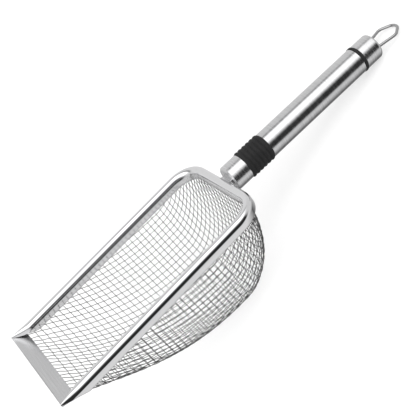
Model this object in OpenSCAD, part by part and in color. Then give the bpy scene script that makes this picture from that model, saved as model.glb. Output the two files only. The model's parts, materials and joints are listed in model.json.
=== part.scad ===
// Sand scoop: a woven-wire basket in a rolled steel rim, with a plain steel lip in front
// and a straight tubular handle behind, ending in a cap with a hanging loop that swings.
//
// The tool is drawn in its own axes first: X runs from the lip's front edge (X = 0) to the
// handle, Z = 0 is the top of the rim, and the basket hangs below it. as_it_lies() then turns
// the whole tool the way it rests on a table, on the belly of the basket and on the edge of
// the end cap, with the origin on the table under the middle of its length.

/* [Rim] */
// Length of the rim, lip edge to the back of the rear band
rim_len = 178; // [140:1:230]
// Outside width of the rim
rim_w = 96; // [76:1:130]
// Width of the rolled rail
rail_w = 7; // [6:0.2:9]
// Height of the rolled rail
rail_h = 9.2; // [6.6:0.2:12]
// Sheet thickness of the rail
rail_t = 0.8; // [0.5:0.1:1]
// Radius of the rail's lower edges
rail_edge_r = 1.2; // [1:0.1:2]
// Outside radius of the two rear corners
corner_r = 21; // [14:1:30]
// Diameter of the stiffening wire inside the rail
core_wire_d = 5.2; // [2.6:0.1:5.2]

/* [Basket] */
// Depth of the basket below the top of the rim
basket_depth = 74; // [45:1:95]
// Distance of the deepest section from the back of the rim
belly_back = 43; // [32:1:60]
// Fullness of the long front slope (1 is straight)
front_fullness = 2.3; // [1.2:0.1:3]
// Fullness of the rear wall (2 is elliptical)
rear_fullness = 1.8; // [1.4:0.1:3]
// Squareness of the cross-section (2 is elliptical)
section_fullness = 2.9; // [2.2:0.1:4]
// Thickness of the wire cloth
cloth_t = 0.6; // [0.5:0.1:1]

/* [Lip] */
// Length of the lip plate, front to back
lip_len = 9.5; // [6:0.5:16]
// Depth of the lip plate's rear edge in the middle
lip_drop = 8.6; // [7.4:0.2:12]
// Thickness of the lip plate
lip_t = 1; // [0.6:0.1:1.5]

/* [Handle] */
// Outside diameter of the handle
handle_d = 20; // [16:0.5:26]
// Angle of the handle below the plane of the rim, in degrees
handle_drop = 3; // [0:0.5:8]
// Depth of the handle's axis below the top of the rim, at the back of the rear band
neck_depth = 5.9; // [2.6:0.1:8]
// Gap between the rear band and the collar
neck_gap = 2.4; // [2:0.2:12]
// Width of the neck bar
neck_w = 10; // [7:0.5:11]
// Thickness of the neck bar
neck_t = 4.6; // [3:0.2:5.4]
// Length of the collar
collar_len = 14; // [10:0.5:20]
// Thickness of the collar's front wall
collar_wall = 4; // [2:0.5:6]
// Chamfer on the collar's front edge
collar_chamfer = 1; // [0.4:0.1:1.6]
// Length of the rubber grip
grip_len = 21; // [16:1:40]
// Number of ribs round the grip
grip_ribs = 6; // [4:1:10]
// How far the ribs stand out from the handle
grip_proud = 0.7; // [0.3:0.1:1.5]
// Length of the main tube
tube_len = 91.8; // [70:0.2:130]
// Wall of the main tube
tube_wall = 0.8; // [0.6:0.1:1.2]
// Wall of the inner tube under the grip
core_wall = 1.2; // [0.8:0.1:1.6]
// Rubber left over the inner tube, at a groove between ribs
grip_wall = 2.4; // [1.8:0.1:3]
// Length of the bushes in the ends of the main tube
bush_len = 10; // [6:1:16]
// Diameter of the tie rod
rod_d = 5; // [4:0.5:6]
// Radial clearance of pieces that slide together when the handle is put together
slip = 0.05; // [0.02:0.01:0.1]

/* [End cap] */
// Thickness of the rubber ring in front of the cap
gasket_t = 2.6; // [1.6:0.1:4]
// How far the rubber ring stands out from the handle
gasket_proud = 0.4; // [0.2:0.1:1]
// Length of the end cap
cap_len = 15; // [13:0.5:22]
// Wall of the end cap
cap_wall = 1; // [0.8:0.1:1.4]
// Radius of the cap's rear edge
cap_edge_r = 2; // [1.2:0.1:2.6]
// Length of the tie rod's thread in the loop block
thread_len = 5; // [3:0.5:6]

/* [Hanging loop] */
// Diameter of the loop's wire
wire_d = 2.1; // [1.6:0.1:2.4]
// Distance of the loop's pivot from the back of the cap
pivot_depth = 4.4; // [3.6:0.1:5.4]
// Half the distance between the two legs where they turn outwards into their holes
leg_half = 5; // [4.6:0.1:5.8]
// Half the width of the loop at its shoulders, on the wire's centre line
shoulder_half = 9.3; // [7:0.1:11]
// Distance from the pivot to the shoulders
shoulder_at = 19.5; // [15:0.5:24]
// Distance from the pivot to where the two sides would meet
tip_at = 30.8; // [26:0.2:40]
// Bend radius of the loop's tip
tip_bend = 6; // [3:0.1:8]
// Bend radius of the shoulders
shoulder_bend = 5; // [3:1:14]
// Bend radius where each leg turns into its foot
foot_bend = 1.5; // [1.4:0.1:1.8]
// Swing of the loop each way from the handle's line, in degrees
swing = 20; // [8:1:22]
// Radial clearance of the loop's feet in their holes
pivot_play = 0.08; // [0.04:0.01:0.1]
// Height of the loop's tip above the table when the tool lies down
tip_clear = 0.3; // [0.2:0.1:1]

/* [Hidden] */
$fn = 96;
polished = [0.86, 0.86, 0.87];
brushed = [0.72, 0.72, 0.73];
rubber = [0.09, 0.09, 0.095];
plastic = [0.2, 0.2, 0.21];

// rim
rail_in = rail_w - 2 * rail_t;
edge_z = rail_t + core_wire_d;            // depth of the cloth's edge, under the core wire
half_w = rim_w / 2 - rail_w / 2;          // rail centre line, from the middle
rear_x = rim_len - rail_w / 2;            // rear band's centre line
bend_r = corner_r - rail_w / 2;
cloth_room = 1;                           // room beside the cloth in the rail's slot
slot_w = cloth_t + cloth_room;            // gap in the rail's underside, for the cloth
rim_path = [[0, half_w], [rear_x, half_w], [rear_x, -half_w], [0, -half_w]];

// basket
belly_x = rim_len - belly_back;
front_rows = 22;
rear_rows = 18;
rows = front_rows + rear_rows;
columns = 36;
lip_rows = 6;
// the rail reaches its full height only where the cloth, at the side of the slot, has dropped past it
cloth_clear = 0.9;
slot_side = sqrt(1 - pow(1 - slot_w / 2 / half_w, section_fullness));
clear_depth = edge_z + (rail_h + cloth_t / 2 + cloth_clear - edge_z) / pow(slot_side, 2 / section_fullness);
clear_share = 1 - pow((basket_depth - clear_depth) / (basket_depth - lip_drop), 1 / front_fullness);
clear_x = lip_len + (belly_x - lip_len) * clear_share;
taper_past = 1.05;                        // the taper is at least this much longer than the lip's edge
taper_len = max(clear_x, taper_past * lip_len * (rail_h - rail_t) / (edge_z - rail_t));
core_path = [[taper_len, half_w], [rear_x, half_w], [rear_x, -half_w], [taper_len, -half_w]];

// neck
weld_r = 1.6;
weld_h = neck_t * 0.8;
core_end_gap = 1;                         // inner tube's end to the bottom of its seat in the collar

// handle, measured along its own axis from the back of the rear band
handle_r = handle_d / 2;
collar_z = neck_gap;
grip_z = collar_z + collar_len;
tube_z = grip_z + grip_len;
gasket_z = tube_z + tube_len;
cap_z = gasket_z + gasket_t;
end_z = cap_z + cap_len;
pivot_z = end_z - pivot_depth;
core_r = handle_r - grip_wall - grip_proud / 2;
core_in = collar_len - collar_wall - core_end_gap;
tube_in_r = handle_r - tube_wall;
block_r = handle_r - cap_wall;
rib_share = 0.56;                         // rib radius, as a share of the ribs' pitch
rib_r = grip_len / grip_ribs * rib_share;
groove_proud = -0.1;                      // the grip between its ribs, from the handle's surface
gasket_round = gasket_t * 0.3;

// the slot that the loop's legs swing in, and the room round them
wire_r = wire_d / 2;
foot_short = 0.2;                         // the feet stop this far inside the cap's wall
foot_end = block_r - foot_short;
side_room = 0.35;
swing_room = 0.15;
floor_room = 0.6;
past_edge = 0.4;
splay = atan((shoulder_half - leg_half) / shoulder_at);
leg_spread = max(foot_bend, (pivot_depth + past_edge) * tan(splay) + wire_r / cos(splay));
slot_half_w = leg_half + leg_spread + side_room;
slot_half_h = (pivot_depth + past_edge) * tan(swing) + wire_r / cos(swing) + swing_room;
slot_floor = pivot_z - wire_r - floor_room;

// the loop's reach: its tip bend is tangent to both sides
side_angle = atan(shoulder_half / (tip_at - shoulder_at));
loop_reach = tip_at - tip_bend * (1 / sin(side_angle) - 1);
loop_path = [[0, foot_end], [0, leg_half], [shoulder_at, shoulder_half], [tip_at, 0],
             [shoulder_at, -shoulder_half], [0, -leg_half], [0, -foot_end]];
loop_bends = [0, foot_bend, shoulder_bend, tip_bend, shoulder_bend, foot_bend, 0];
bend_lap = 0.1;

// ---- the way the tool lies: belly of the basket and edge of the end cap on the table ----
function down(p, tilt) = -p[0] * sin(tilt) + p[1] * cos(tilt);
function along(p, tilt) = p[0] * cos(tilt) + p[1] * sin(tilt);
function on_axis(z) = [rim_len + z * cos(handle_drop), -neck_depth - z * sin(handle_drop)];
function belly_low(tilt) = min([for (i = [0 : rows]) down([row_x(i, 0.5), -row_depth(i, 0.5)], tilt)]);
cap_edge = on_axis(end_z - cap_edge_r)
    - (handle_r - cap_edge_r) * [sin(handle_drop), cos(handle_drop)];
function cap_low(tilt) = down(cap_edge, tilt) - cap_edge_r;
function lie(lo, hi, steps) = steps == 0 ? (lo + hi) / 2
    : let (mid = (lo + hi) / 2)
      cap_low(mid) > belly_low(mid) ? lie(mid, hi, steps - 1) : lie(lo, mid, steps - 1);
tilt = lie(0, 45, 30);
table = belly_low(tilt);
pivot_h = down(on_axis(pivot_z), tilt) - table;
loop_slope = asin((pivot_h - wire_r - tip_clear) / loop_reach);
loop_droop = max(-swing + 1, min(swing - 1, loop_slope - tilt - handle_drop));
low_x = -(rail_t + lip_t) * sin(tilt);
high_x = along(on_axis(pivot_z), tilt)
    + loop_reach * cos(tilt + handle_drop + loop_droop) + wire_r;
mid_x = (low_x + high_x) / 2;

module as_it_lies() translate([-mid_x, 0, -table]) rotate([0, tilt, 0]) children();

// the handle's axis becomes Z, from the back of the rear band
module on_handle() translate([rim_len, 0, -neck_depth]) rotate([0, 90 + handle_drop, 0]) children();

// ---- bent lengths of wire or strip, in the XY plane, exact arcs at the corners ----
function heading(a, b) = atan2(b[1] - a[1], b[0] - a[0]);
function turn(a, b, c) = let (t = heading(b, c) - heading(a, b))
    t > 180 ? t - 360 : t < -180 ? t + 360 : t;
function setback(path, bends, i) = i <= 0 || i >= len(path) - 1 ? 0
    : bends[i] * tan(abs(turn(path[i - 1], path[i], path[i + 1])) / 2);

// lap makes each corner run a little into its straights, drawn very slightly thinner, so that
// corners at odd angles join them cleanly
module bent(path, bends, lap = 0) {
    for (i = [0 : len(path) - 2]) {
        a = path[i];
        b = path[i + 1];
        s = setback(path, bends, i);
        translate([a[0], a[1], 0]) rotate([0, 0, heading(a, b)]) translate([s, 0, 0])
            rotate([90, 0, 90]) linear_extrude(norm(b - a) - s - setback(path, bends, i + 1)) children();
    }
    for (i = [1 : len(path) - 2]) {
        h_in = heading(path[i - 1], path[i]);
        h_out = heading(path[i], path[i + 1]);
        bend = turn(path[i - 1], path[i], path[i + 1]);
        side = bend > 0 ? 1 : -1;
        centre = path[i] - setback(path, bends, i) * [cos(h_in), sin(h_in)]
            + side * bends[i] * [-sin(h_in), cos(h_in)];
        lap_angle = lap / bends[i] * 180 / PI;
        translate([centre[0], centre[1], 0]) rotate([0, 0, (bend > 0 ? h_in - 90 : h_out + 90) - lap_angle])
            rotate_extrude(angle = abs(bend) + 2 * lap_angle) translate([bends[i], 0])
                scale(1 - lap / 5) children();
    }
}

// ---- the pressed basket: rows run across it, columns from one rail to the other ----
function power(c, fullness) = sign(c) * pow(abs(c), 2 / fullness);
function rear_angle(i) = 90 * (i - front_rows) / rear_rows;
function row_x(i, side) = i <= front_rows
    ? lip_len + (belly_x - lip_len) * i / front_rows
    : belly_x + (rear_x + side * cloth_t - belly_x) * power(sin(rear_angle(i)), rear_fullness);
function row_depth(i, side) = i <= front_rows
    ? lip_drop + (basket_depth - lip_drop) * (1 - pow(1 - i / front_rows, front_fullness))
        + (side - 0.5) * cloth_t
    : edge_z + (basket_depth + (side - 0.5) * cloth_t - edge_z)
        * power(cos(rear_angle(i)), rear_fullness);
function corner_in(x, end_x, r) = x <= end_x - r ? 0 : r - sqrt(max(0, r * r - pow(x - end_x + r, 2)));
function row_half(i, side) = half_w + side * cloth_t
    - corner_in(row_x(i, side), rear_x + side * cloth_t, bend_r + side * cloth_t);
function column_angle(j) = 90 * (1 - cos(180 * j / columns));
function basket_point(i, j, side) = let (a = column_angle(j))
    [row_x(i, side), row_half(i, side) * power(cos(a), section_fullness),
     -edge_z - (row_depth(i, side) - edge_z) * power(sin(a), section_fullness)];

// the lip plate blends from its straight front edge to the basket's first row
function lip_point(i, j, below) = let (s = i / lip_rows, p = basket_point(0, j, 0))
    [lip_len * s, (1 - s) * rim_w / 2 * power(cos(column_angle(j)), section_fullness) + s * p[1],
     (1 - s) * -rail_t + s * p[2] - below * lip_t];

// a sheet between two matching grids of points, closed all round its edge
function quad(a, b, c, d) = [[a, b, c], [a, c, d]];
module sheet(top, under, n_rows, n_columns) {
    w = n_columns + 1;
    n = (n_rows + 1) * w;
    cells = [for (i = [0 : n_rows - 1], j = [0 : n_columns - 1]) i * w + j];
    faces = concat(
        [for (k = cells) each quad(k, k + 1, k + w + 1, k + w)],
        [for (k = cells) each quad(n + k, n + k + w, n + k + w + 1, n + k + 1)],
        [for (j = [0 : n_columns - 1]) each quad(j + 1, j, n + j, n + j + 1)],
        [for (j = [0 : n_columns - 1]) let (k = n_rows * w + j) each quad(k, k + 1, n + k + 1, n + k)],
        [for (i = [0 : n_rows - 1]) each quad(i * w, (i + 1) * w, n + (i + 1) * w, n + i * w)],
        [for (i = [0 : n_rows - 1]) let (k = i * w + n_columns) each quad(k + w, k, n + k, n + k + w)]);
    polyhedron([for (g = [top, under]) each [for (r = g) each r]], faces, convexity = 10);
}

// ---- pieces ----
// a half-round top on straight sides, with small radii below; the top is at Y = 0
module arch(w, h, r) {
    translate([0, -w / 2]) circle(w / 2);
    translate([-w / 2, r - h]) square([w, h - w / 2 - r]);
    translate([r - w / 2, -h]) square([w - 2 * r, h - w / 2]);
    for (s = [-1, 1]) translate([s * (w / 2 - r), r - h]) circle(r);
}

module rail_profile() difference() {
    arch(rail_w, rail_h, rail_edge_r);
    translate([0, -rail_t]) arch(rail_in, rail_h - 2 * rail_t, rail_edge_r - rail_t);
    translate([-slot_w / 2, -2 * rail_h]) square([slot_w, 1.5 * rail_h]);
}

// the rear band filled in, to fit the neck against
module rear_band_solid() translate([rear_x, 0, 0]) rotate([90, 0, 0])
    linear_extrude(rim_w, center = true) arch(rail_w, rail_h, rail_edge_r);

module rim_channel() color(polished) as_it_lies() difference() {
    bent(rim_path, [0, bend_r, bend_r, 0]) rail_profile();
    // the rail runs out to a thin edge at each corner of the lip
    rotate([90, 0, 0]) linear_extrude(2 * rim_w, center = true)
        polygon([[-1, -rail_t + 0.01], [0, -rail_t], [taper_len, -rail_h],
                 [taper_len, -2 * rail_h], [-1, -2 * rail_h]]);
}

module rim_core_wire() color(brushed) as_it_lies() translate([0, 0, -rail_t - core_wire_d / 2])
    bent(core_path, [0, bend_r, bend_r, 0], bend_lap) circle(d = core_wire_d);

module mesh_basket() color(brushed) as_it_lies() sheet(
    [for (i = [0 : rows]) [for (j = [0 : columns]) basket_point(i, j, -0.5)]],
    [for (i = [0 : rows]) [for (j = [0 : columns]) basket_point(i, j, 0.5)]], rows, columns);

module lip_plate() color(polished) as_it_lies() sheet(
    [for (i = [0 : lip_rows]) [for (j = [0 : columns]) lip_point(i, j, 0)]],
    [for (i = [0 : lip_rows]) [for (j = [0 : columns]) lip_point(i, j, 1)]], lip_rows, columns);

// flat bar behind the rim, with the tie rod that holds the handle together
module neck_tang() color(brushed) as_it_lies() difference() {
    on_handle() {
        translate([-neck_t / 2, -neck_w / 2, -2]) cube([neck_t, neck_w, collar_z + collar_wall + 4]);
        cylinder(d = rod_d, h = cap_z + thread_len);
    }
    rear_band_solid();
}

module neck_weld() color(polished) as_it_lies() difference() {
    for (s = [-1, 1]) translate([rim_len, s * neck_w / 2, -neck_depth - weld_h / 2])
        cylinder(r = weld_r, h = weld_h);
    rear_band_solid();
    on_handle() translate([-neck_t, -neck_w / 2, -2]) cube([2 * neck_t, neck_w, 2 * neck_gap + 2]);
}

module collar() color(brushed) as_it_lies() on_handle() translate([0, 0, collar_z]) difference() {
    rotate_extrude() polygon([[0, 0], [handle_r - collar_chamfer, 0], [handle_r, collar_chamfer],
                              [handle_r, collar_len], [0, collar_len]]);
    translate([0, 0, collar_wall]) cylinder(r = core_r + slip, h = collar_len);
    translate([-neck_t / 2 - slip, -neck_w / 2 - slip, -1])
        cube([neck_t + 2 * slip, neck_w + 2 * slip, collar_len]);
}

module grip_core() color(brushed) as_it_lies() on_handle() translate([0, 0, grip_z - core_in]) difference() {
    cylinder(r = core_r, h = core_in + grip_len + bush_len);
    translate([0, 0, -1]) cylinder(r = core_r - core_wall, h = core_in + grip_len + bush_len + 2);
}

module grip_sleeve() color(rubber) as_it_lies() on_handle() translate([0, 0, grip_z])
    rotate_extrude() difference() {
        union() {
            square([handle_r + groove_proud, grip_len]);
            intersection() {
                for (k = [0 : grip_ribs - 1])
                    translate([handle_r + grip_proud - rib_r, (k + 0.5) * grip_len / grip_ribs])
                        circle(rib_r, $fn = 32);
                square([2 * handle_r, grip_len]);
            }
        }
        translate([0, -1]) square([core_r + slip, grip_len + 2]);
    }

module front_bush() color(plastic) as_it_lies() on_handle() translate([0, 0, tube_z]) difference() {
    cylinder(r = tube_in_r - slip, h = bush_len);
    translate([0, 0, -1]) cylinder(r = core_r + slip, h = bush_len + 2);
}

module handle_tube() color(brushed) as_it_lies() on_handle() translate([0, 0, tube_z]) difference() {
    cylinder(r = handle_r, h = tube_len);
    translate([0, 0, -1]) cylinder(r = tube_in_r, h = tube_len + 2);
}

module rear_bush() color(plastic) as_it_lies() on_handle() translate([0, 0, gasket_z - bush_len])
    difference() {
        cylinder(r = tube_in_r - slip, h = bush_len);
        translate([0, 0, -1]) cylinder(r = rod_d / 2 + slip, h = bush_len + 2);
    }

module gasket_ring() color(rubber) as_it_lies() on_handle() translate([0, 0, gasket_z])
    rotate_extrude() difference() {
        union() {
            square([handle_r + gasket_proud - gasket_round, gasket_t]);
            translate([0, gasket_round]) square([handle_r + gasket_proud, gasket_t - 2 * gasket_round]);
            for (y = [gasket_round, gasket_t - gasket_round])
                translate([handle_r + gasket_proud - gasket_round, y]) circle(gasket_round);
        }
        translate([0, -1]) square([rod_d / 2 + slip, gasket_t + 2]);
    }

// slot that the loop's legs swing in
module loop_slot() translate([-slot_half_h, -slot_half_w, slot_floor])
    cube([2 * slot_half_h, 2 * slot_half_w, end_z - slot_floor + 1]);

module end_cap() color(brushed) as_it_lies() on_handle() difference() {
    translate([0, 0, cap_z]) rotate_extrude() difference() {
        union() {
            square([handle_r, cap_len - cap_edge_r]);
            square([handle_r - cap_edge_r, cap_len]);
            translate([handle_r - cap_edge_r, cap_len - cap_edge_r]) circle(cap_edge_r);
        }
        square([block_r, cap_len - cap_wall - cap_edge_r]);
        square([block_r - cap_edge_r, cap_len - cap_wall]);
    }
    loop_slot();
}

module loop_block() color(plastic) as_it_lies() on_handle() difference() {
    union() {
        translate([0, 0, cap_z]) cylinder(r = block_r, h = cap_len - cap_wall - cap_edge_r);
        translate([0, 0, cap_z]) cylinder(r = block_r - cap_edge_r, h = cap_len - cap_wall);
    }
    loop_slot();
    translate([0, 0, cap_z - 1]) cylinder(d = rod_d, h = thread_len + 1);
    for (s = [-1, 1]) translate([0, s * (slot_half_w - 0.5), pivot_z]) rotate([-90 * s, 0, 0])
        cylinder(r = wire_r + pivot_play, h = block_r);
}

module hanging_loop() color(polished) as_it_lies() on_handle() translate([0, 0, pivot_z])
    rotate([0, loop_droop - 90, 0])
        bent(loop_path, loop_bends, bend_lap, $fn = 32) circle(wire_r);

rim_channel();
rim_core_wire();
mesh_basket();
lip_plate();
neck_tang();
neck_weld();
collar();
grip_core();
grip_sleeve();
front_bush();
handle_tube();
rear_bush();
gasket_ring();
end_cap();
loop_block();
hanging_loop();
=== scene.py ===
"""A sand scoop: a woven basket in a rolled rim, a lip, a tubular handle with a rubber grip, and a hanging loop."""
import json
import math

import bmesh
import bpy
import numpy as np
from mathutils import Matrix, Vector


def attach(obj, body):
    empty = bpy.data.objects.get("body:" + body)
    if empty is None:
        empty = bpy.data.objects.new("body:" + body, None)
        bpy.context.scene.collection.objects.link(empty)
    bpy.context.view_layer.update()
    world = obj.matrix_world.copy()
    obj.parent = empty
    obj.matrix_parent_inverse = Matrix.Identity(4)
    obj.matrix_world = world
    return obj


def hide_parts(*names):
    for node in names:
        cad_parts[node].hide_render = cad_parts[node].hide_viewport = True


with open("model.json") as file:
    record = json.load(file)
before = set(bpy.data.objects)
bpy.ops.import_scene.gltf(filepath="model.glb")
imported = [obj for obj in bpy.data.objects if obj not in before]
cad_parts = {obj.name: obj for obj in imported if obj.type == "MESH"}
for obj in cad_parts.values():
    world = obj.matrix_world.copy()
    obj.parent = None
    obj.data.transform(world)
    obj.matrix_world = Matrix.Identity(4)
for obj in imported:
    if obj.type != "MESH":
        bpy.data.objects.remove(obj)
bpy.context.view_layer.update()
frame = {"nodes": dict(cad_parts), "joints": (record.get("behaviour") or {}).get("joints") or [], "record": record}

MM = 0.001
TAU = 2 * math.pi

# sizes that the frame doesn't give, in metres
HANDLE_DROP = math.radians(3)      # handle's axis below the rim's plane
RAIL_W = 7 * MM
RAIL_SHEET = 0.8 * MM
RAIL_CROWN = 4.4 * MM              # height of the rail's oval top
RAIL_NOSE = 0.3                    # share of the rail's width left at the lip's corners
RAIL_FOOT_R = 1.2 * MM             # radius of the rail's lower edges
CLOTH_SLOT = 0.8 * MM              # half the gap under the rail
CORNER_R = 17.5 * MM               # rear corners, on the rail's centre line
LIP_SHEET = 1.0 * MM
PITCH = 4.4 * MM                   # of the woven cloth
CLOTH_WIRE = 0.46 * MM
BELLY_BACK = 43 * MM
FRONT_FULLNESS, REAR_FULLNESS, SECTION_FULLNESS = 2.3, 1.8, 2.9
NECK_W, NECK_T, NECK_FLARE = 10 * MM, 4.6 * MM, 2.4 * MM
GRIP_RIBS = 6
GRIP_PROUD = 0.7 * MM
TUBE_WALL = 0.8 * MM
CAP_WALL, CAP_EDGE_R = 1.0 * MM, 2.0 * MM
SLOT_HALF_W, SLOT_HALF_H, SLOT_DEPTH = 7.48 * MM, 3.0 * MM, 6.0 * MM
ROD_R = 2.5 * MM
LOOP_WIRE_R = 1.05 * MM
LOOP_LEG, LOOP_SHOULDER = 5.0 * MM, 9.3 * MM
LOOP_SHOULDER_AT, LOOP_TIP_AT = 19.5 * MM, 30.75 * MM
LEG_BEND, SHOULDER_BEND, TIP_BEND = 1.5 * MM, 5 * MM, 6 * MM

# soft panels of the studio, as angles round the handle's side in degrees, 0 overhead and 90 in front:
# start, end, brightness, and the widths of the soft edges outside them
BACK_WALL = (-110, -30, 0.8, 75, 25)
OVERHEAD_BOX = (4, 46, 1.75, 14, 28)
LOW_FILL = (120, 140, 0.8, 6, 50)
DARK_LIGHT = 0.03                  # between the panels
SIDE_LIGHT = 0.74                  # at both ends


# ---- places, all from the frame ----

def node_points(name):
    """A CAD node's corners, one row each."""
    mesh = frame["nodes"][name].data
    flat = np.empty(3 * len(mesh.vertices))
    mesh.vertices.foreach_get("co", flat)
    return flat.reshape(-1, 3)


def mount(name):
    return next(m for m in frame["record"]["mounts"] if m["name"] == name)


handle_at = np.array(mount("handle_end")["pos_m"])
handle_dir = np.array(mount("handle_end")["axis"])
handle_up = np.cross(handle_dir, (0, 1, 0))
handle_r = mount("handle_end")["dims"]["r_mm"] * MM
tilt = math.atan2(-handle_dir[2], handle_dir[0]) - HANDLE_DROP

# the scoop's own axes: X back from the lip's edge, Z up from the top of the rim
turn = np.array(Matrix.Rotation(tilt, 3, "Y"))
rim_points = node_points("rim_channel") @ turn
corner = np.array([rim_points[:, 0].min(), 0, rim_points[:, 2].max()])


def to_frame(points):
    return (np.asarray(points) + corner) @ turn.T


def own(name):
    return node_points(name) @ turn - corner


def along_handle(name):
    """Where a node starts and ends along the handle, and its largest radius."""
    rel = node_points(name) - handle_at
    h = rel @ handle_dir
    r = np.linalg.norm(rel - np.outer(h, handle_dir), axis=1)
    return h.min(), h.max(), r.max()


rim = own("rim_channel")
rim_len, rim_half, rail_h = rim[:, 0].max(), rim[:, 1].max(), -rim[:, 2].min()
rail_y = rim_half - RAIL_W / 2
rear_x = rim_len - RAIL_W / 2
basket = own("mesh_basket")
lip_len, basket_depth, edge_z = basket[:, 0].min(), -basket[:, 2].min(), -basket[:, 2].max()
lip_drop = -own("lip_plate")[:, 2].min() - LIP_SHEET / 2
belly_x = rim_len - BELLY_BACK
taper_end = rim[rim[:, 2] < 0.01 * MM - rail_h, 0].min()


# ---- mesh helpers ----

def piece(name, verts, faces, body, finish, slot_name, replaced=(), sharp=40):
    mesh = bpy.data.meshes.new(name)
    mesh.from_pydata([tuple(v) for v in verts], [], [tuple(f) for f in faces])
    return finished(name, mesh, body, finish, replaced, sharp)


def finished(name, mesh, body, finish, replaced=(), sharp=40):
    """A cleaned, smooth mesh as a piece that rides on a body and takes a finish."""
    bm = bmesh.new()
    bm.from_mesh(mesh)
    bmesh.ops.remove_doubles(bm, verts=bm.verts, dist=1e-6)
    bmesh.ops.dissolve_degenerate(bm, edges=bm.edges, dist=1e-7)
    bmesh.ops.recalc_face_normals(bm, faces=bm.faces)
    bm.to_mesh(mesh)
    bm.free()
    mesh.shade_smooth()
    mesh.set_sharp_from_angle(angle=math.radians(sharp))
    mesh.materials.clear()
    mesh.materials.append(finish)
    obj = bpy.data.objects.new(name, mesh)
    bpy.context.scene.collection.objects.link(obj)
    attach(obj, body)
    if replaced:
        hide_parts(*replaced)
    return obj


def loft(loops, closed_ends=True):
    """Joins rings of points, which all have the same number, into one skin."""
    n = len(loops[0])
    verts = np.concatenate(loops)
    faces = []
    for i in range(len(loops) - 1):
        for j in range(n):
            k = (j + 1) % n
            faces.append((i * n + j, i * n + k, (i + 1) * n + k, (i + 1) * n + j))
    if closed_ends:
        faces.append(range(n))
        faces.append(range(len(verts) - 1, len(verts) - n - 1, -1))
    return verts, faces


def arc(centre, radius, start, end, steps):
    angles = np.radians(np.linspace(start, end, steps))
    return [(centre[0] + radius * math.cos(a), centre[1] + radius * math.sin(a)) for a in angles]


def turned(outline, steps=128):
    """An outline of (along, radius) points turned round the handle's axis."""
    outline = np.array(outline)
    loops = []
    for k in range(steps):
        a = TAU * k / steps
        out = math.cos(a) * np.array([0, 1, 0]) + math.sin(a) * handle_up
        loops.append(handle_at + np.outer(outline[:, 0], handle_dir) + np.outer(outline[:, 1], out))
    verts, faces = loft(loops + [loops[0]], closed_ends=False)
    return verts, faces


def rounded_route(points, radii, step):
    """A flat path with round corners: its points and its directions."""
    points = [np.array(p, float) for p in points]
    places, ways = [], []

    def way(i):
        d = points[i + 1] - points[i]
        return d / np.linalg.norm(d)

    def cut(i):
        if i in (0, len(points) - 1):
            return 0.0
        bend = math.acos(np.clip(way(i - 1) @ way(i), -1, 1))
        return radii[i] * math.tan(bend / 2)

    for i in range(len(points) - 1):
        a, b = points[i] + way(i) * cut(i), points[i + 1] - way(i) * cut(i + 1)
        count = max(2, int(np.linalg.norm(b - a) / step) + 1)
        for t in np.linspace(0, 1, count):
            places.append(a + (b - a) * t)
            ways.append(way(i))
        if i + 1 < len(points) - 1:
            w0, w1 = way(i), way(i + 1)
            side = math.copysign(1, w0[0] * w1[1] - w0[1] * w1[0])
            centre = b + side * radii[i + 1] * np.array([-w0[1], w0[0]])
            bend = math.acos(np.clip(w0 @ w1, -1, 1))
            count = max(3, int(math.degrees(bend) / 4))
            for t in np.linspace(0, 1, count + 1)[1:-1]:
                a = side * bend * t
                spin = np.array([[math.cos(a), -math.sin(a)], [math.sin(a), math.cos(a)]])
                places.append(centre + spin @ (b - centre))
                ways.append(spin @ w0)
    return np.array(places), np.array(ways)


# ---- finishes ----

def add(tree, kind, inputs=None, **settings):
    """A node with its settings, and its inputs set to values or linked to sockets."""
    node = tree.nodes.new(kind)
    for key, value in settings.items():
        setattr(node, key, value)
    for key, value in (inputs or {}).items():
        if isinstance(value, bpy.types.NodeSocket):
            tree.links.new(value, node.inputs[key])
        else:
            node.inputs[key].default_value = value
    return node


def maths(tree, operation, a, b=0.0, clamp=False):
    return add(tree, "ShaderNodeMath", {0: a, 1: b}, operation=operation, use_clamp=clamp).outputs[0]


def new_group(name, kind, inputs, outputs):
    """A node group with named sockets: (name, type, default) in and (name, type) out."""
    tree = bpy.data.node_groups.new(name, kind)
    for label, socket, *default in inputs:
        item = tree.interface.new_socket(label, in_out="INPUT", socket_type=socket)
        if default:
            item.default_value = default[0]
    for label, socket in outputs:
        tree.interface.new_socket(label, in_out="OUTPUT", socket_type=socket)
    return tree, tree.nodes.new("NodeGroupInput"), tree.nodes.new("NodeGroupOutput")


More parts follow.
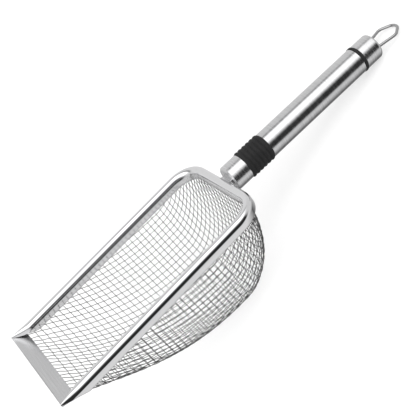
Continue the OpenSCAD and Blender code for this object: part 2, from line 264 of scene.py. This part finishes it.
def steel_wear_group():
    """Drawn or brushed streaks, cloudy handling marks and stray scratches on bare steel."""
    tree, given, result = new_group(
        "steel_wear", "ShaderNodeTree",
        [("Vector", "NodeSocketVector"), ("Tint", "NodeSocketColor", (0.6, 0.6, 0.6, 1)),
         ("Roughness", "NodeSocketFloat", 0.2), ("Streak Scale", "NodeSocketVector", (1000, 40, 40)),
         ("Streak", "NodeSocketFloat", 0.5), ("Marks", "NodeSocketFloat", 0.5)],
        [("Color", "NodeSocketColor"), ("Roughness", "NodeSocketFloat"), ("Height", "NodeSocketFloat")])
    vec = given.outputs["Vector"]
    stretched = add(tree, "ShaderNodeVectorMath", {0: vec, 1: given.outputs["Streak Scale"]}, operation="MULTIPLY")
    streak = add(tree, "ShaderNodeTexNoise", {"Vector": stretched.outputs[0], "Scale": 1.0, "Detail": 4.0})
    cloud = add(tree, "ShaderNodeTexNoise", {"Vector": vec, "Scale": 55.0, "Detail": 3.0, "Distortion": 0.6})
    slanted = add(tree, "ShaderNodeMapping", {"Vector": vec, "Rotation": (0.4, 0.7, 1.1), "Scale": (900, 45, 45)})
    hair = add(tree, "ShaderNodeTexNoise", {"Vector": slanted.outputs[0], "Scale": 1.0, "Detail": 1.0})
    hair_line = add(tree, "ShaderNodeMapRange",
                    {"Value": hair.outputs[0], "From Min": 0.72, "From Max": 0.78, "To Min": 0.0, "To Max": 1.0})
    streak_even = maths(tree, "SUBTRACT", streak.outputs[0], 0.5)
    cloud_even = maths(tree, "SUBTRACT", cloud.outputs[0], 0.5)
    streak_part = maths(tree, "MULTIPLY", streak_even, given.outputs["Streak"])
    cloud_part = maths(tree, "MULTIPLY", cloud_even, given.outputs["Marks"])
    hair_part = maths(tree, "MULTIPLY", hair_line.outputs[0], given.outputs["Marks"])
    shade = maths(tree, "ADD", maths(tree, "MULTIPLY", streak_part, 0.5), 1.0)
    shade = maths(tree, "SUBTRACT", shade, maths(tree, "MULTIPLY", cloud_part, 0.10))
    shade = maths(tree, "SUBTRACT", shade, maths(tree, "MULTIPLY", hair_part, 0.06))
    colour = add(tree, "ShaderNodeVectorMath", {0: given.outputs["Tint"], "Scale": shade}, operation="SCALE")
    rough = maths(tree, "ADD", given.outputs["Roughness"], maths(tree, "MULTIPLY", streak_part, 0.25))
    rough = maths(tree, "ADD", rough, maths(tree, "MULTIPLY", cloud_part, 0.16))
    rough = maths(tree, "ADD", rough, maths(tree, "MULTIPLY", hair_part, 0.10), clamp=True)
    height = maths(tree, "SUBTRACT", streak_part, maths(tree, "MULTIPLY", hair_part, 0.5))
    tree.links.new(colour.outputs[0], result.inputs["Color"])
    tree.links.new(rough, result.inputs["Roughness"])
    tree.links.new(height, result.inputs["Height"])
    return tree


def moulded_grain_group():
    """The fine pitted grain of a moulded surface, with a little pale dust in its hollows."""
    tree, given, result = new_group(
        "moulded_grain", "ShaderNodeTree",
        [("Vector", "NodeSocketVector"), ("Tint", "NodeSocketColor", (0.03, 0.03, 0.03, 1)),
         ("Dust", "NodeSocketColor", (0.2, 0.19, 0.18, 1)), ("Dust Amount", "NodeSocketFloat", 0.2),
         ("Roughness", "NodeSocketFloat", 0.6), ("Grain Size", "NodeSocketFloat", 0.4)],
        [("Color", "NodeSocketColor"), ("Roughness", "NodeSocketFloat"), ("Height", "NodeSocketFloat")])
    vec = given.outputs["Vector"]
    per_metre = maths(tree, "DIVIDE", 1000.0, given.outputs["Grain Size"])
    pits = add(tree, "ShaderNodeTexVoronoi", {"Vector": vec, "Scale": per_metre}, feature="SMOOTH_F1")
    fine = add(tree, "ShaderNodeTexNoise", {"Vector": vec, "Scale": per_metre, "Detail": 3.0})
    cloud = add(tree, "ShaderNodeTexNoise", {"Vector": vec, "Scale": 120.0, "Detail": 4.0})
    hollow = add(tree, "ShaderNodeMapRange",
                 {"Value": cloud.outputs[0], "From Min": 0.45, "From Max": 0.75, "To Min": 0.0, "To Max": 1.0})
    dusty = maths(tree, "MULTIPLY", maths(tree, "MULTIPLY", hollow.outputs[0], pits.outputs[0]),
                  given.outputs["Dust Amount"], clamp=True)
    colour = add(tree, "ShaderNodeMix", {"Factor": dusty, "A": given.outputs["Tint"], "B": given.outputs["Dust"]},
                 data_type="RGBA")
    rough = maths(tree, "ADD", given.outputs["Roughness"],
                  maths(tree, "MULTIPLY", maths(tree, "SUBTRACT", fine.outputs[0], 0.5), 0.2), clamp=True)
    height = maths(tree, "ADD", pits.outputs[0], maths(tree, "MULTIPLY", fine.outputs[0], 0.6))
    tree.links.new(colour.outputs["Result"], result.inputs["Color"])
    tree.links.new(rough, result.inputs["Roughness"])
    tree.links.new(height, result.inputs["Height"])
    return tree


steel_wear = steel_wear_group()
moulded_grain = moulded_grain_group()


def finish_from(name, group, values, metallic, bump_mm, bump_strength, spin=0.0):
    """A material from one of the shared groups; spin turns its pattern about Y to lie along the piece."""
    mat = bpy.data.materials.new(name)
    mat.use_nodes = True
    tree = mat.node_tree
    tree.nodes.clear()
    where = add(tree, "ShaderNodeTexCoord")
    lined = add(tree, "ShaderNodeMapping", {"Vector": where.outputs["Object"], "Rotation": (0, spin, 0)},
                vector_type="TEXTURE")
    wear = add(tree, "ShaderNodeGroup", node_tree=group)
    tree.links.new(lined.outputs[0], wear.inputs["Vector"])
    for key, value in values.items():
        wear.inputs[key].default_value = value
    bump = add(tree, "ShaderNodeBump",
               {"Height": wear.outputs["Height"], "Distance": bump_mm * MM, "Strength": bump_strength})
    shader = add(tree, "ShaderNodeBsdfPrincipled",
                 {"Base Color": wear.outputs["Color"], "Roughness": wear.outputs["Roughness"],
                  "Normal": bump.outputs[0], "Metallic": metallic})
    add(tree, "ShaderNodeOutputMaterial", {"Surface": shader.outputs[0]})
    return mat


def steel(name, tint, roughness, streak_scale, streak, marks, spin=0.0, bump=0.15):
    return finish_from(name, steel_wear,
                       {"Tint": (tint, tint, tint * 1.01, 1), "Roughness": roughness,
                        "Streak Scale": streak_scale, "Streak": streak, "Marks": marks},
                       1.0, 0.02, bump, spin)


def moulded(name, tint, roughness, grain_mm, dust, bump):
    return finish_from(name, moulded_grain,
                       {"Tint": (tint, tint, tint * 1.05, 1), "Roughness": roughness,
                        "Grain Size": grain_mm, "Dust Amount": dust},
                       0.0, 0.05, bump)


handle_slope = math.atan2(handle_dir[2], handle_dir[0])
polished_steel = steel("polished_steel", 0.78, 0.05, (60, 900, 900), 0.15, 0.35, spin=tilt)
loop_steel = steel("loop_steel", 0.42, 0.10, (60, 900, 900), 0.2, 0.3)
brushed_steel = steel("brushed_steel", 0.64, 0.21, (1100, 45, 45), 1.0, 0.35, spin=-handle_slope, bump=0.5)
turned_steel = steel("turned_steel", 0.66, 0.24, (1500, 60, 60), 0.9, 0.35, spin=-handle_slope, bump=0.5)
lip_steel = steel("satin_lip_steel", 0.60, 0.24, (2200, 25, 400), 0.6, 0.4, spin=tilt)
cloth_steel = steel("drawn_cloth_wire", 0.22, 0.25, (700, 700, 700), 0.5, 0.5)
inner_steel = steel("drawn_inner_steel", 0.5, 0.35, (80, 900, 900), 0.5, 0.5)
weld_steel = steel("weld_steel", 0.45, 0.35, (500, 500, 500), 0.8, 0.8, bump=0.5)
black_rubber = moulded("black_rubber", 0.008, 0.75, 0.5, 0.08, 0.6)
black_plastic = moulded("black_plastic", 0.03, 0.42, 0.3, 0.1, 0.25)


# ---- the woven basket ----

def superpower(value, fullness):
    return np.sign(value) * np.abs(value) ** (2 / fullness)


def cloth_surface(s, a):
    """A point of the cloth: s runs 0 to 1 down the front slope and 1 to 2 up the rear wall, a across it."""
    depth = basket_depth - CLOTH_WIRE
    k = np.clip(s, 0, 1)
    rise = np.clip(s - 1, 0, 1) * math.pi / 2
    front_x = lip_len + (belly_x - lip_len) * k
    front_d = lip_drop + (depth - lip_drop) * (1 - (1 - k) ** FRONT_FULLNESS)
    rear_px = belly_x + (rear_x - belly_x) * superpower(np.sin(rise), REAR_FULLNESS)
    rear_d = edge_z + (depth - edge_z) * superpower(np.clip(np.cos(rise), 0, 1), REAR_FULLNESS)
    x = np.where(s <= 1, front_x, rear_px)
    d = np.where(s <= 1, front_d, rear_d)
    past = np.clip(x - rear_x + CORNER_R, 0, CORNER_R)
    half = rail_y - (CORNER_R - np.sqrt(CORNER_R ** 2 - past ** 2))
    y = half * superpower(np.cos(a), SECTION_FULLNESS)
    z = -edge_z - (d - edge_z) * superpower(np.clip(np.sin(a), 0, 1), SECTION_FULLNESS)
    return np.stack([x + 0 * y, y, z], -1)


def cloth_grid(rows=321, columns=241):
    """The surface on a grid, with the count of cross wires (u) and of long wires (v) at each point."""
    s = np.linspace(0, 2, rows)
    a = (1 - np.cos(np.linspace(0, math.pi, columns))) * math.pi / 2
    grid = cloth_surface(*np.meshgrid(s, a, indexing="ij"))
    face = np.cross(np.gradient(grid, axis=0), np.gradient(grid, axis=1))
    face /= np.linalg.norm(face, axis=-1, keepdims=True) + 1e-12
    # cross wires: even steps back to the belly, then as many up the rear wall as its middle takes
    belly = rows // 2
    steps = np.linalg.norm(np.diff(grid, axis=0), axis=2)
    climb = np.concatenate([np.zeros((1, columns)), np.cumsum(steps, 0)])
    climb = np.clip(climb - climb[belly], 0, None)
    wall = climb[-1]
    rear_wires = wall[columns // 2] / PITCH
    crowding = np.maximum((PITCH * rear_wires - wall) / rear_wires ** 2, 1e-9)
    root = np.sqrt(np.maximum(PITCH ** 2 - 4 * crowding * climb, 0))
    u = np.where(np.arange(rows)[:, None] <= belly, (grid[..., 0] - lip_len) / PITCH,
                 (belly_x - lip_len) / PITCH + (PITCH - root) / (2 * crowding))
    # long wires: even steps out from the middle
    spans = np.linalg.norm(np.diff(grid, axis=1), axis=2)
    across = np.concatenate([np.zeros((rows, 1)), np.cumsum(spans, 1)], 1)
    v = (across - across[:, columns // 2][:, None]) / PITCH
    return s, a, grid, face, u, v


def along_counts(counts, *columns, per_pitch=6):
    """Samples rows of data at even parts of a wire count that grows along the wire."""
    order = np.argsort(counts)
    counts = counts[order]
    inner = np.arange(math.ceil(counts[0] * per_pitch), math.floor(counts[-1] * per_pitch) + 1) / per_pitch
    at = np.unique(np.concatenate([[counts[0]], inner, [counts[-1]]]))
    sampled = [np.stack([np.interp(at, counts, c[order][:, k]) for k in range(3)], 1) for c in columns]
    return at, sampled


def cross_wires():
    s, a, grid, face, u, v = cloth_grid()
    for i in range(1, int(u[-1, len(a) // 2])):
        here = np.array([np.interp(i, u[:, k], s) for k in range(len(a))])
        points = cloth_surface(here, a)
        pick = lambda field: np.array([np.interp(here[k], s, field[:, k]) for k in range(len(a))])
        normals = np.stack([pick(face[..., c]) for c in range(3)], 1)
        at, (line, faces) = along_counts(pick(v), points, normals)
        yield line, faces, at + i


def long_wires():
    s, a, grid, face, u, v = cloth_grid()
    most = int(v[:, -1].max())
    for j in range(-most, most + 1):
        rows = [r for r in range(len(s)) if v[r, 0] <= j <= v[r, -1]]
        if len(rows) < 8:
            continue
        here = np.array([np.interp(j, v[r], a) for r in rows])
        points = cloth_surface(s[rows], here)
        pick = lambda field: np.array([np.interp(h, a, field[r]) for r, h in zip(rows, here)])
        normals = np.stack([pick(face[..., c]) for c in range(3)], 1)
        at, (line, faces) = along_counts(pick(u), points, normals)
        yield line, faces, at + j + 1


def formed_wire_tree():
    """Thickens lines into round wire, waving them over and under along their own face direction."""
    tree, given, result = new_group(
        "formed_wire", "GeometryNodeTree",
        [("Geometry", "NodeSocketGeometry"), ("Wire Radius", "NodeSocketFloat", 0.0005),
         ("Sides", "NodeSocketInt", 8), ("Weave Height", "NodeSocketFloat", 0.0),
         ("Finish", "NodeSocketMaterial")],
        [("Geometry", "NodeSocketGeometry")])
    count = add(tree, "GeometryNodeInputNamedAttribute", {"Name": "wire_count"}, data_type="FLOAT")
    face = add(tree, "GeometryNodeInputNamedAttribute", {"Name": "face_way"}, data_type="FLOAT_VECTOR")
    wave = maths(tree, "COSINE", maths(tree, "MULTIPLY", count.outputs["Attribute"], math.pi))
    lift = maths(tree, "MULTIPLY", wave, given.outputs["Weave Height"])
    offset = add(tree, "ShaderNodeVectorMath", {0: face.outputs["Attribute"], "Scale": lift}, operation="SCALE")
    woven = add(tree, "GeometryNodeSetPosition", {"Geometry": given.outputs["Geometry"], "Offset": offset.outputs[0]})
    line = add(tree, "GeometryNodeMeshToCurve", {"Mesh": woven.outputs[0]})
    section = add(tree, "GeometryNodeCurvePrimitiveCircle",
                  {"Resolution": given.outputs["Sides"], "Radius": given.outputs["Wire Radius"]})
    wire = add(tree, "GeometryNodeCurveToMesh",
               {"Curve": line.outputs[0], "Profile Curve": section.outputs[0], "Fill Caps": True})
    solid = add(tree, "GeometryNodeRealizeInstances", {"Geometry": wire.outputs[0]})
    coated = add(tree, "GeometryNodeSetMaterial",
                 {"Geometry": solid.outputs[0], "Material": given.outputs["Finish"]})
    tree.links.new(coated.outputs[0], result.inputs[0])
    return tree


formed_wire = formed_wire_tree()


def wire_piece(name, lines, radius, sides, weave, body, finish, replaced):
    """Lines of (points, face directions, wire counts), in the frame, as one piece of round wire."""
    points, ways, counts, edges = [], [], [], []
    for line, faces, at in lines:
        start = len(points)
        points.extend(line)
        ways.extend(faces)
        counts.extend(at)
        edges.extend((k, k + 1) for k in range(start, len(points) - 1))
    carrier = bpy.data.meshes.new(name + "_lines")
    carrier.from_pydata([tuple(p) for p in points], edges, [])
    carrier.attributes.new("wire_count", "FLOAT", "POINT").data.foreach_set("value", np.array(counts, np.float32))
    carrier.attributes.new("face_way", "FLOAT_VECTOR", "POINT").data.foreach_set(
        "vector", np.array(ways, np.float32).ravel())
    holder = bpy.data.objects.new(name + "_lines", carrier)
    bpy.context.scene.collection.objects.link(holder)
    form = holder.modifiers.new("form", "NODES")
    form.node_group = formed_wire
    values = {"Wire Radius": radius, "Sides": sides, "Weave Height": weave, "Finish": finish}
    for item in formed_wire.interface.items_tree:
        if item.in_out == "INPUT" and item.name in values:
            form[item.identifier] = values[item.name]
    depsgraph = bpy.context.evaluated_depsgraph_get()
    mesh = bpy.data.meshes.new_from_object(holder.evaluated_get(depsgraph))
    mesh.name = name
    holder.modifiers.remove(form)
    bpy.data.objects.remove(holder)
    return finished(name, mesh, body, finish, replaced, sharp=60)


def in_frame(lines):
    for points, ways, counts in lines:
        yield to_frame(points), ways @ turn.T, counts


def woven_basket():
    weave = CLOTH_WIRE / 2
    wire_piece("cloth_cross_wires", in_frame(cross_wires()), CLOTH_WIRE / 2, 6, weave,
               "scoop", cloth_steel, ("mesh_basket",))
    wire_piece("cloth_long_wires", in_frame(long_wires()), CLOTH_WIRE / 2, 6, weave,
               "scoop", cloth_steel, ("mesh_basket",))


# ---- rim and lip ----

def rail_section(h):
    """Half of the rolled rail's outline, top outside, down, and back up inside, cut off at depth h."""
    half, inner_half, crown = RAIL_W / 2, RAIL_W / 2 - RAIL_SHEET, RAIL_CROWN - RAIL_SHEET
    foot = min(RAIL_FOOT_R, max(0.02 * MM, h - RAIL_CROWN))
    hem = min(RAIL_SHEET, 0.3 * (h - RAIL_SHEET))
    full = np.clip((h - 0.85 * rail_h) / (0.15 * rail_h), 0.02, 1)
    outer_end = math.acos(np.clip(1 - (h - foot) / RAIL_CROWN, 0, 1))
    inner_end = math.acos(np.clip(1 - (h - hem - RAIL_SHEET) / crown, 0, 1))
    outer = [(half * math.sin(t), RAIL_CROWN * (math.cos(t) - 1)) for t in np.linspace(0, outer_end, 24)]
    side = outer[-1][0]
    outer += [(side - foot + foot * math.cos(t), foot - h - foot * math.sin(t))
              for t in np.linspace(0, math.pi / 2, 6)]
    inner = [(inner_half * math.sin(t), crown * (math.cos(t) - 1) - RAIL_SHEET)
             for t in np.linspace(inner_end, 0, 16)]
    hem_u = inner[0][0] + (CLOTH_SLOT - inner[0][0]) * full
    return outer + [(hem_u, -h), (hem_u, hem - h), (inner[0][0], hem - h)] + inner


def rolled_rim():
    route = [(0, rail_y), (rear_x, rail_y), (rear_x, -rail_y), (0, -rail_y)]
    places, ways = rounded_route(route, [0, CORNER_R, CORNER_R, 0], 1.5 * MM)
    loops = []
    for place, way in zip(places, ways):
        h = RAIL_SHEET + 0.15 * MM + (rail_h - RAIL_SHEET - 0.15 * MM) * min(1, place[0] / taper_end)
        half = rail_section(h)
        width = RAIL_NOSE + (1 - RAIL_NOSE) * min(1, place[0] / (0.8 * taper_end))
        ring = [(RAIL_W / 2 * (1 - width) + u * width, z) for u, z in half + [(-u, z) for u, z in half[::-1]]]
        side = np.array([-way[1], way[0]])
        loops.append(to_frame([(place[0] + side[0] * u, place[1] + side[1] * u, z) for u, z in ring]))
    verts, faces = loft(loops)
    piece("rolled_rim", verts, faces, "scoop", polished_steel, "polished_steel", ("rim_channel",))


def lip():
    """The plate between the rails: straight at its front edge, curved like the cloth at its back."""
    nose = 0.3 * MM
    rows = np.linspace(0, 1, 14)
    loops = []
    for a in (1 - np.cos(np.linspace(0, math.pi, 121))) * math.pi / 2:
        y = superpower(math.cos(a), SECTION_FULLNESS)
        z = superpower(max(0, math.sin(a)), SECTION_FULLNESS)
        top = []
        for s in rows:
            width = rim_half + (rail_y - rim_half) * s
            drop = -RAIL_SHEET * (1 - s) - s * (edge_z + (lip_drop - LIP_SHEET / 2 - edge_z) * z)
            top.append((lip_len * s, width * y, drop))
        top = np.array(top)
        low = top - (0, 0, LIP_SHEET)
        front = top[0]
        nose_arc = [(nose - nose * math.cos(t), front[1], front[2] - nose + nose * math.sin(t))
                    for t in np.radians((60, 30, 0))]
        under_arc = [(nose - nose * math.cos(t), front[1], front[2] - LIP_SHEET + nose - nose * math.sin(t))
                     for t in np.radians((0, 30, 60))]
        top[0, 0] = low[0, 0] = nose
        loops.append(to_frame(np.concatenate([top[::-1], nose_arc, under_arc, low])))
    verts, faces = loft(loops)
    piece("lip_plate_formed", verts, faces, "scoop", lip_steel, "lip_steel", ("lip_plate",))


# ---- neck and handle ----

def rounded_rectangle(half_w, half_t, r, steps=6):
    ring = []
    for k, (sx, sy) in enumerate([(1, 1), (-1, 1), (-1, -1), (1, -1)]):
        ring += arc((sx * (half_w - r), sy * (half_t - r)), r, 90 * k, 90 * k + 90, steps)
    return ring


def neck():
    """The flat bar behind the rim, flared where it is welded on, with the tie rod through the handle."""
    start = along_handle("neck_tang")[0]
    collar_at = along_handle("collar")[0]
    rod_end = along_handle("neck_tang")[1]
    loops = []
    for h in np.concatenate([np.linspace(start - 1.5 * MM, collar_at, 16), [collar_at + 2 * MM]]):
        k = np.clip((collar_at - h) / (collar_at - start), 0, 1.4)
        ring = rounded_rectangle(NECK_W / 2 + NECK_FLARE * k ** 3 * 0.6, NECK_T / 2, 0.9 * MM)
        loops.append([handle_at + h * handle_dir + u * np.array([0, 1, 0]) + w * handle_up for u, w in ring])
    verts, faces = loft([np.array(x) for x in loops])
    rod_verts, rod_faces = turned([(collar_at + MM, 0), (collar_at + MM, ROD_R), (rod_end - 0.5 * MM, ROD_R),
                                   (rod_end, ROD_R - 0.5 * MM), (rod_end, 0)], 48)
    faces = list(faces) + [[i + len(verts) for i in f] for f in rod_faces]
    piece("neck_bar", np.concatenate([verts, rod_verts]), faces, "scoop", brushed_steel, "brushed_steel",
          ("neck_tang",))


def collar():
    start, end, _ = along_handle("collar")
    chamfer, soft = 1.0 * MM, 0.15 * MM
    outline = [(start, 0), (start, handle_r - chamfer - soft), (start + soft, handle_r - chamfer),
               (start + chamfer, handle_r - soft), (start + chamfer + soft, handle_r),
               (end - soft, handle_r), (end, handle_r - soft), (end, 0)]
    piece("collar_turned", *turned(outline), "scoop", turned_steel, "brushed_steel", ("collar",), sharp=25)


def grip():
    """A rubber sleeve with round ribs."""
    start, end, _ = along_handle("grip_sleeve")
    rib = (end - start) / GRIP_RIBS
    rib_r = 0.56 * rib
    floor = handle_r - 0.1 * MM
    outline = [(start, handle_r - 2.5 * MM)]
    for k in range(GRIP_RIBS):
        for t in np.linspace(-0.5, 0.5, 11):
            rise = handle_r + GRIP_PROUD - rib_r + math.sqrt(rib_r ** 2 - (t * rib) ** 2)
            outline.append((start + (k + 0.5 + t) * rib, max(floor, rise)))
    outline.append((end, handle_r - 2.5 * MM))
    outline.append(outline[0])
    piece("grip_ribbed", *turned(outline), "scoop", black_rubber, "black_rubber", ("grip_sleeve",), sharp=50)


def tube():
    start, end, _ = along_handle("handle_tube")
    soft, bore = 0.2 * MM, handle_r - TUBE_WALL
    outline = [(start, bore), (start, handle_r - soft), (start + soft, handle_r), (end - soft, handle_r),
               (end, handle_r - soft), (end, bore), (start, bore)]
    piece("handle_tube_drawn", *turned(outline), "scoop", brushed_steel, "brushed_steel", ("handle_tube",), sharp=25)


def gasket():
    start, end, radius = along_handle("gasket_ring")
    soft = 0.3 * (end - start)
    outline = [(start, ROD_R)]
    outline += arc((start + soft, radius - soft), soft, 180, 90, 6)
    outline += arc((end - soft, radius - soft), soft, 90, 0, 6)
    outline += [(end, ROD_R), (start, ROD_R)]
    piece("gasket_moulded", *turned(outline), "scoop", black_rubber, "black_rubber", ("gasket_ring",), sharp=50)


def end_cap():
    """A drawn cup with a slot through its end, where the loop's legs pass."""
    start, end, _ = along_handle("end_cap")
    inside = handle_r - CAP_WALL
    edge = (end - CAP_EDGE_R, handle_r - CAP_EDGE_R)
    outline = [(start, inside), (start, handle_r - 0.2 * MM), (start + 0.2 * MM, handle_r)]
    outline += [(x, r) for x, r in arc(edge, CAP_EDGE_R, 90, 0, 10)]
    outline += [(end, 0), (end - CAP_WALL, 0)]
    outline += [(x, r) for x, r in arc(edge, CAP_EDGE_R - CAP_WALL, 0, 90, 6)]
    outline += [(start, inside)]
    cap = piece("end_cap_drawn", *turned(outline), "scoop", turned_steel, "brushed_steel", ("end_cap",), sharp=25)
    ring = rounded_rectangle(SLOT_HALF_W, SLOT_HALF_H, 0.8 * MM)
    loops = []
    for h in (end - SLOT_DEPTH, end + SLOT_DEPTH):
        loops.append(np.array([handle_at + h * handle_dir + u * np.array([0, 1, 0]) + w * handle_up
                               for u, w in ring]))
    verts, faces = loft(loops)
    cutter_mesh = bpy.data.meshes.new("slot_cutter")
    cutter_mesh.from_pydata([tuple(v) for v in verts], [], [tuple(f) for f in faces])
    cutter = bpy.data.objects.new("slot_cutter", cutter_mesh)
    bpy.context.scene.collection.objects.link(cutter)
    cut = cap.modifiers.new("slot", "BOOLEAN")
    cut.object = cutter
    cut.solver = "EXACT"
    depsgraph = bpy.context.evaluated_depsgraph_get()
    cap.data = bpy.data.meshes.new_from_object(cap.evaluated_get(depsgraph))
    cap.modifiers.remove(cut)
    bpy.data.objects.remove(cutter)


def hanging_loop():
    """Bent wire: two feet in the block, legs, shoulders and a round tip, about the joint's own pivot."""
    pivot = np.array(frame["joints"][0]["pos_m"])
    rel = node_points("hanging_loop") - pivot
    reach = rel[np.argmax(np.linalg.norm(rel, axis=1) * (np.abs(rel[:, 1]) < 2 * MM))]
    flat = np.array([reach[0], 0, reach[2]])
    out = flat / np.linalg.norm(flat)
    foot = np.abs(rel[:, 1]).max()
    half = [(0, foot), (0, LOOP_LEG), (LOOP_SHOULDER_AT, LOOP_SHOULDER)]
    route = half + [(LOOP_TIP_AT, 0)] + [(u, -y) for u, y in half[::-1]]
    bends = [0, LEG_BEND, SHOULDER_BEND, TIP_BEND, SHOULDER_BEND, LEG_BEND, 0]
    places, _ = rounded_route(route, bends, 2 * MM)
    keep = [0] + [k for k in range(1, len(places)) if np.linalg.norm(places[k] - places[k - 1]) > 1e-6]
    line = np.array([pivot + u * out + np.array([0, y, 0]) for u, y in places[keep]])
    flat_ways = np.tile(np.cross(out, (0, 1, 0)), (len(line), 1))
    wire_piece("hanging_loop_bent", [(line, flat_ways, np.zeros(len(line)))], LOOP_WIRE_R, 32, 0.0,
               "loop", loop_steel, ("hanging_loop",))


def weld_beads():
    """Two short fillets, one each side of the neck bar."""
    start = along_handle("neck_tang")[0]
    verts, faces = [], []
    for s in (-1, 1):
        loops = []
        for t in np.linspace(0, 1, 25):
            r = (0.9 + 0.15 * math.sin(t * 6 * TAU)) * MM * math.sin(math.pi * (0.06 + 0.88 * t)) ** 0.4
            aside = s * (NECK_W / 2 + 1.0 * MM) * np.array([0, 1, 0])
            centre = (handle_at + (start + 1.2 * MM) * handle_dir + aside
                      + (0.8 - 2 * t) * 0.42 * NECK_T * handle_up)
            loops.append(np.array([centre + r * math.cos(b) * handle_dir + r * math.sin(b) * np.array([0, 1, 0])
                                   for b in np.linspace(0, TAU, 16, endpoint=False)]))
        v, f = loft(loops)
        faces += [[i + sum(len(x) for x in verts) for i in q] for q in f]
        verts.append(v)
    piece("neck_weld_beads", np.concatenate(verts), faces, "scoop", weld_steel, "weld_steel", ("neck_weld",))


def finish_cad_nodes():
    """The pieces inside the handle and rim keep their CAD shape and get their finishes."""
    for names, finish, slot_name in [
            (("rim_core_wire", "grip_core"), inner_steel, "steel_wire"),
            (("front_bush", "rear_bush", "loop_block"), black_plastic, "black_plastic")]:
        for name in names:
            obj = frame["nodes"][name]
            obj.data.materials.clear()
            obj.data.materials.append(finish)


# ---- the studio ----

def soft_panel(tree, angle, start, end, brightness, fade_in, fade_out):
    """A panel's light at an angle in radians: even from start to end, fading to nothing past both."""
    rise = add(tree, "ShaderNodeMapRange", {"Value": angle, "From Min": math.radians(start - fade_in),
                                            "From Max": math.radians(start), "To Min": 0.0, "To Max": brightness})
    fall = add(tree, "ShaderNodeMapRange", {"Value": angle, "From Min": math.radians(end),
                                            "From Max": math.radians(end + fade_out), "To Min": 1.0, "To Max": 0.0})
    return maths(tree, "MULTIPLY", rise.outputs[0], fall.outputs[0])


def studio_world():
    """Three soft panels along the scoop with dark gaps between them, and a pale backdrop."""
    world = bpy.data.worlds.new("studio")
    bpy.context.scene.world = world
    world.use_nodes = True
    tree = world.node_tree
    tree.nodes.clear()
    where = add(tree, "ShaderNodeTexCoord")
    way = add(tree, "ShaderNodeSeparateXYZ", {0: where.outputs["Generated"]})
    back = maths(tree, "MULTIPLY", way.outputs["Y"], -1.0)
    angle = maths(tree, "ARCTAN2", back, way.outputs["Z"])
    light = DARK_LIGHT
    for panel in (BACK_WALL, OVERHEAD_BOX, LOW_FILL):
        light = maths(tree, "ADD", soft_panel(tree, angle, *panel), light)
    tent = add(tree, "ShaderNodeCombineXYZ", {0: light, 1: light, 2: light})
    side = maths(tree, "ABSOLUTE", way.outputs["X"])
    wall = add(tree, "ShaderNodeMapRange", {"Value": side, "From Min": 0.6, "From Max": 0.95, "To Min": 0.0,
                                            "To Max": 1.0}, interpolation_type="SMOOTHSTEP")
    ends = (SIDE_LIGHT, SIDE_LIGHT, SIDE_LIGHT, 1)
    mixed = add(tree, "ShaderNodeMix", {"Factor": wall.outputs[0], "A": tent.outputs[0], "B": ends},
                data_type="RGBA")
    studio = add(tree, "ShaderNodeBackground", {"Color": mixed.outputs["Result"], "Strength": 1.0})
    pale = add(tree, "ShaderNodeBackground", {"Color": (1, 1, 1, 1), "Strength": 1.0})
    ray = add(tree, "ShaderNodeLightPath")
    chosen = add(tree, "ShaderNodeMixShader", {0: ray.outputs["Is Camera Ray"], 1: studio.outputs[0],
                                               2: pale.outputs[0]})
    add(tree, "ShaderNodeOutputWorld", {"Surface": chosen.outputs[0]})


def pale_floor():
    half = 4.0
    mesh = bpy.data.meshes.new("floor")
    mesh.from_pydata([(-half, -half, 0), (half, -half, 0), (half, half, 0), (-half, half, 0)], [], [(0, 1, 2, 3)])
    obj = bpy.data.objects.new("floor", mesh)
    bpy.context.scene.collection.objects.link(obj)
    mat = bpy.data.materials.new("pale_floor")
    mat.use_nodes = True
    shader = mat.node_tree.nodes["Principled BSDF"]
    shader.inputs["Base Color"].default_value = (0.55, 0.55, 0.55, 1)
    shader.inputs["Roughness"].default_value = 0.9
    shader.inputs["Specular IOR Level"].default_value = 0.0
    shader.inputs["Emission Color"].default_value = (1, 1, 1, 1)
    shader.inputs["Emission Strength"].default_value = 0.55
    mesh.materials.append(mat)
    obj.visible_glossy = False


def camera():
    """Looks straight across the scoop and down on it, rolled so that the handle points up and right."""
    eye = Vector((-0.01471, -0.48087, 0.4116))
    down, aside, roll, lens = math.radians(36.43), math.radians(0.32), math.radians(58.2), 75.7
    data = bpy.data.cameras.new("camera")
    data.lens = lens
    data.sensor_width = 36.0
    data.clip_start, data.clip_end = 0.01, 50.0
    obj = bpy.data.objects.new("camera", data)
    obj.matrix_world = (Matrix.Translation(eye) @ Matrix.Rotation(aside, 4, "Z")
                        @ Matrix.Rotation(math.pi / 2 - down, 4, "X") @ Matrix.Rotation(-roll, 4, "Z"))
    bpy.context.scene.collection.objects.link(obj)
    bpy.context.scene.camera = obj


camera()
studio_world()
pale_floor()
woven_basket()
rolled_rim()
lip()
neck()
weld_beads()
collar()
grip()
tube()
gasket()
end_cap()
hanging_loop()
finish_cad_nodes()
bpy.context.scene.view_settings.view_transform = "Standard"
